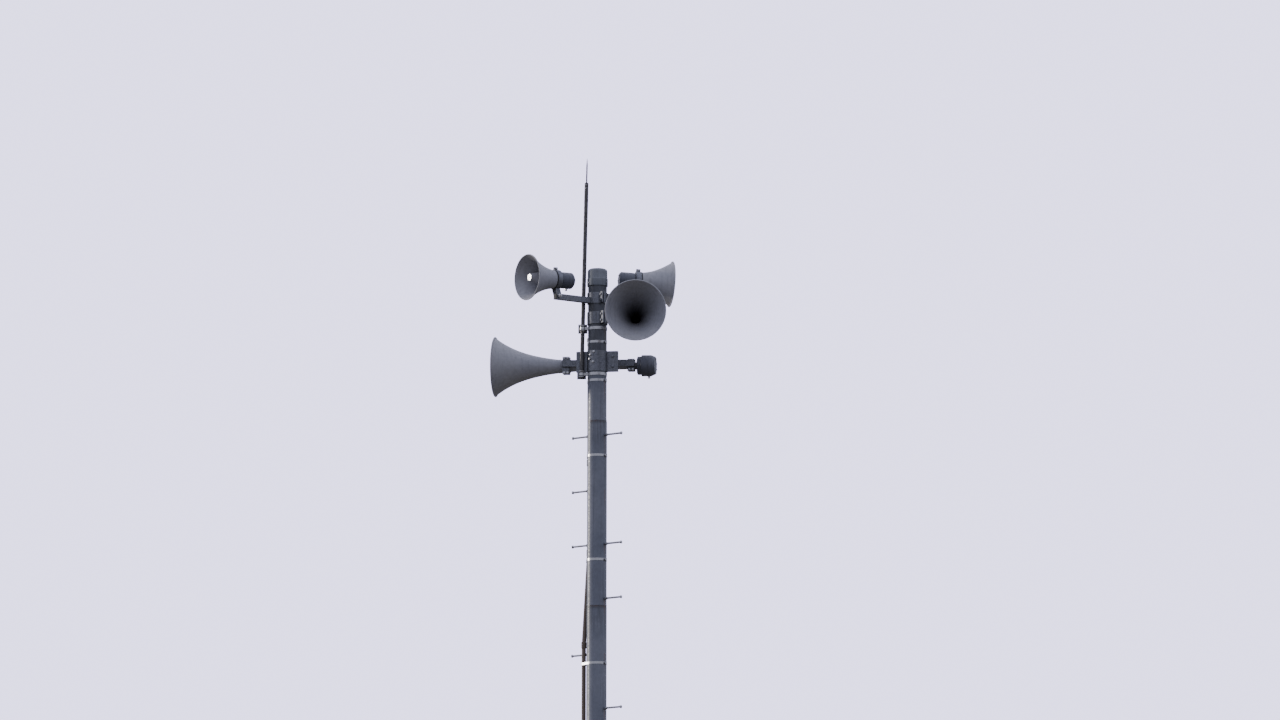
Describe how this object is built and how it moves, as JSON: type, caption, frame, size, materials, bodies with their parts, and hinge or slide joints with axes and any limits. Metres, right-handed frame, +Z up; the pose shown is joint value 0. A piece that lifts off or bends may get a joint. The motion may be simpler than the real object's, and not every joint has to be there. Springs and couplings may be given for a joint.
{
  "type": "civil defense siren tower",
  "caption": "Tall sectional steel mast with long and short horn loudspeakers at its head, step bolts up its sides, a cable conduit and a lightning rod.",
  "frame": {"origin": "centre of the base plate's underside, on the mast's axis", "axes": "+Z up along the mast; -Y is where the front horn faces; +X is to the right of someone who looks at the tower from the front horn's side"},
  "size_m": [1.5284, 1.6079, 13.4206],
  "materials": {
    "mast_paint": "weathered blue-grey paint over galvanised steel",
    "cap_paint": "dull grey paint",
    "galvanized_steel": "dull hot-dip galvanised steel",
    "stainless_steel": "bright stainless steel",
    "conduit_plastic": "dark brown plastic pipe",
    "horn_paint": "satin light grey paint",
    "driver_paint": "dark blue-grey paint"
  },
  "bodies": {
    "mast": {"base_plate": "galvanized_steel", "base_gussets": "galvanized_steel", "mast_section_1": "mast_paint", "mast_section_2": "mast_paint", "mast_section_3": "mast_paint", "mast_section_4": "mast_paint", "mast_section_5": "mast_paint", "mast_section_6": "mast_paint", "mast_section_7": "mast_paint", "mast_section_8": "mast_paint", "mast_cap": "cap_paint", "step_bolts": "stainless_steel", "conduit": "conduit_plastic", "conduit_bands": "stainless_steel", "rod_pipe": "galvanized_steel", "rod_needle": "stainless_steel", "rod_brackets": "stainless_steel", "left_arm": "galvanized_steel", "right_arm": "galvanized_steel", "front_arm": "galvanized_steel", "front_clamp": "galvanized_steel", "rear_arm": "galvanized_steel", "rear_clamp": "galvanized_steel", "pivot_bolts": "stainless_steel"},
    "left_horn": {"left_bell": "horn_paint", "left_throat": "driver_paint", "left_bullet": "horn_paint", "left_driver": "driver_paint", "left_strap": "galvanized_steel"},
    "right_horn": {"right_bell": "horn_paint", "right_throat": "driver_paint", "right_bullet": "horn_paint", "right_driver": "driver_paint", "right_strap": "galvanized_steel"},
    "front_horn": {"front_flare": "horn_paint", "front_tube": "horn_paint", "front_driver": "driver_paint", "front_cradle": "galvanized_steel", "front_saddle_straps": "galvanized_steel"},
    "rear_horn": {"rear_flare": "horn_paint", "rear_tube": "horn_paint", "rear_driver": "driver_paint", "rear_cradle": "galvanized_steel", "rear_saddle_straps": "galvanized_steel"}
  },
  "joints": [
    {"name": "left_tilt", "type": "hinge", "parent": "mast", "child": "left_horn", "pos_m": [-0.32332, -0.21809, 12.234], "axis": [0.5592, -0.829, 0], "range_deg": [-5, 15]},
    {"name": "right_tilt", "type": "hinge", "parent": "mast", "child": "right_horn", "pos_m": [0.30559, 0.05774, 12.274], "axis": [-0.1857, 0.9826, 0], "range_deg": [-5, 15]},
    {"name": "front_tilt", "type": "hinge", "parent": "mast", "child": "front_horn", "pos_m": [0.229, 0, 12.076], "axis": [1, 0, 0], "range_deg": [-10, 8]},
    {"name": "rear_tilt", "type": "hinge", "parent": "mast", "child": "rear_horn", "pos_m": [0.03385, 0.22648, 11.757], "axis": [-0.1478, -0.989, 0], "range_deg": [-8, 12]}
  ]
}
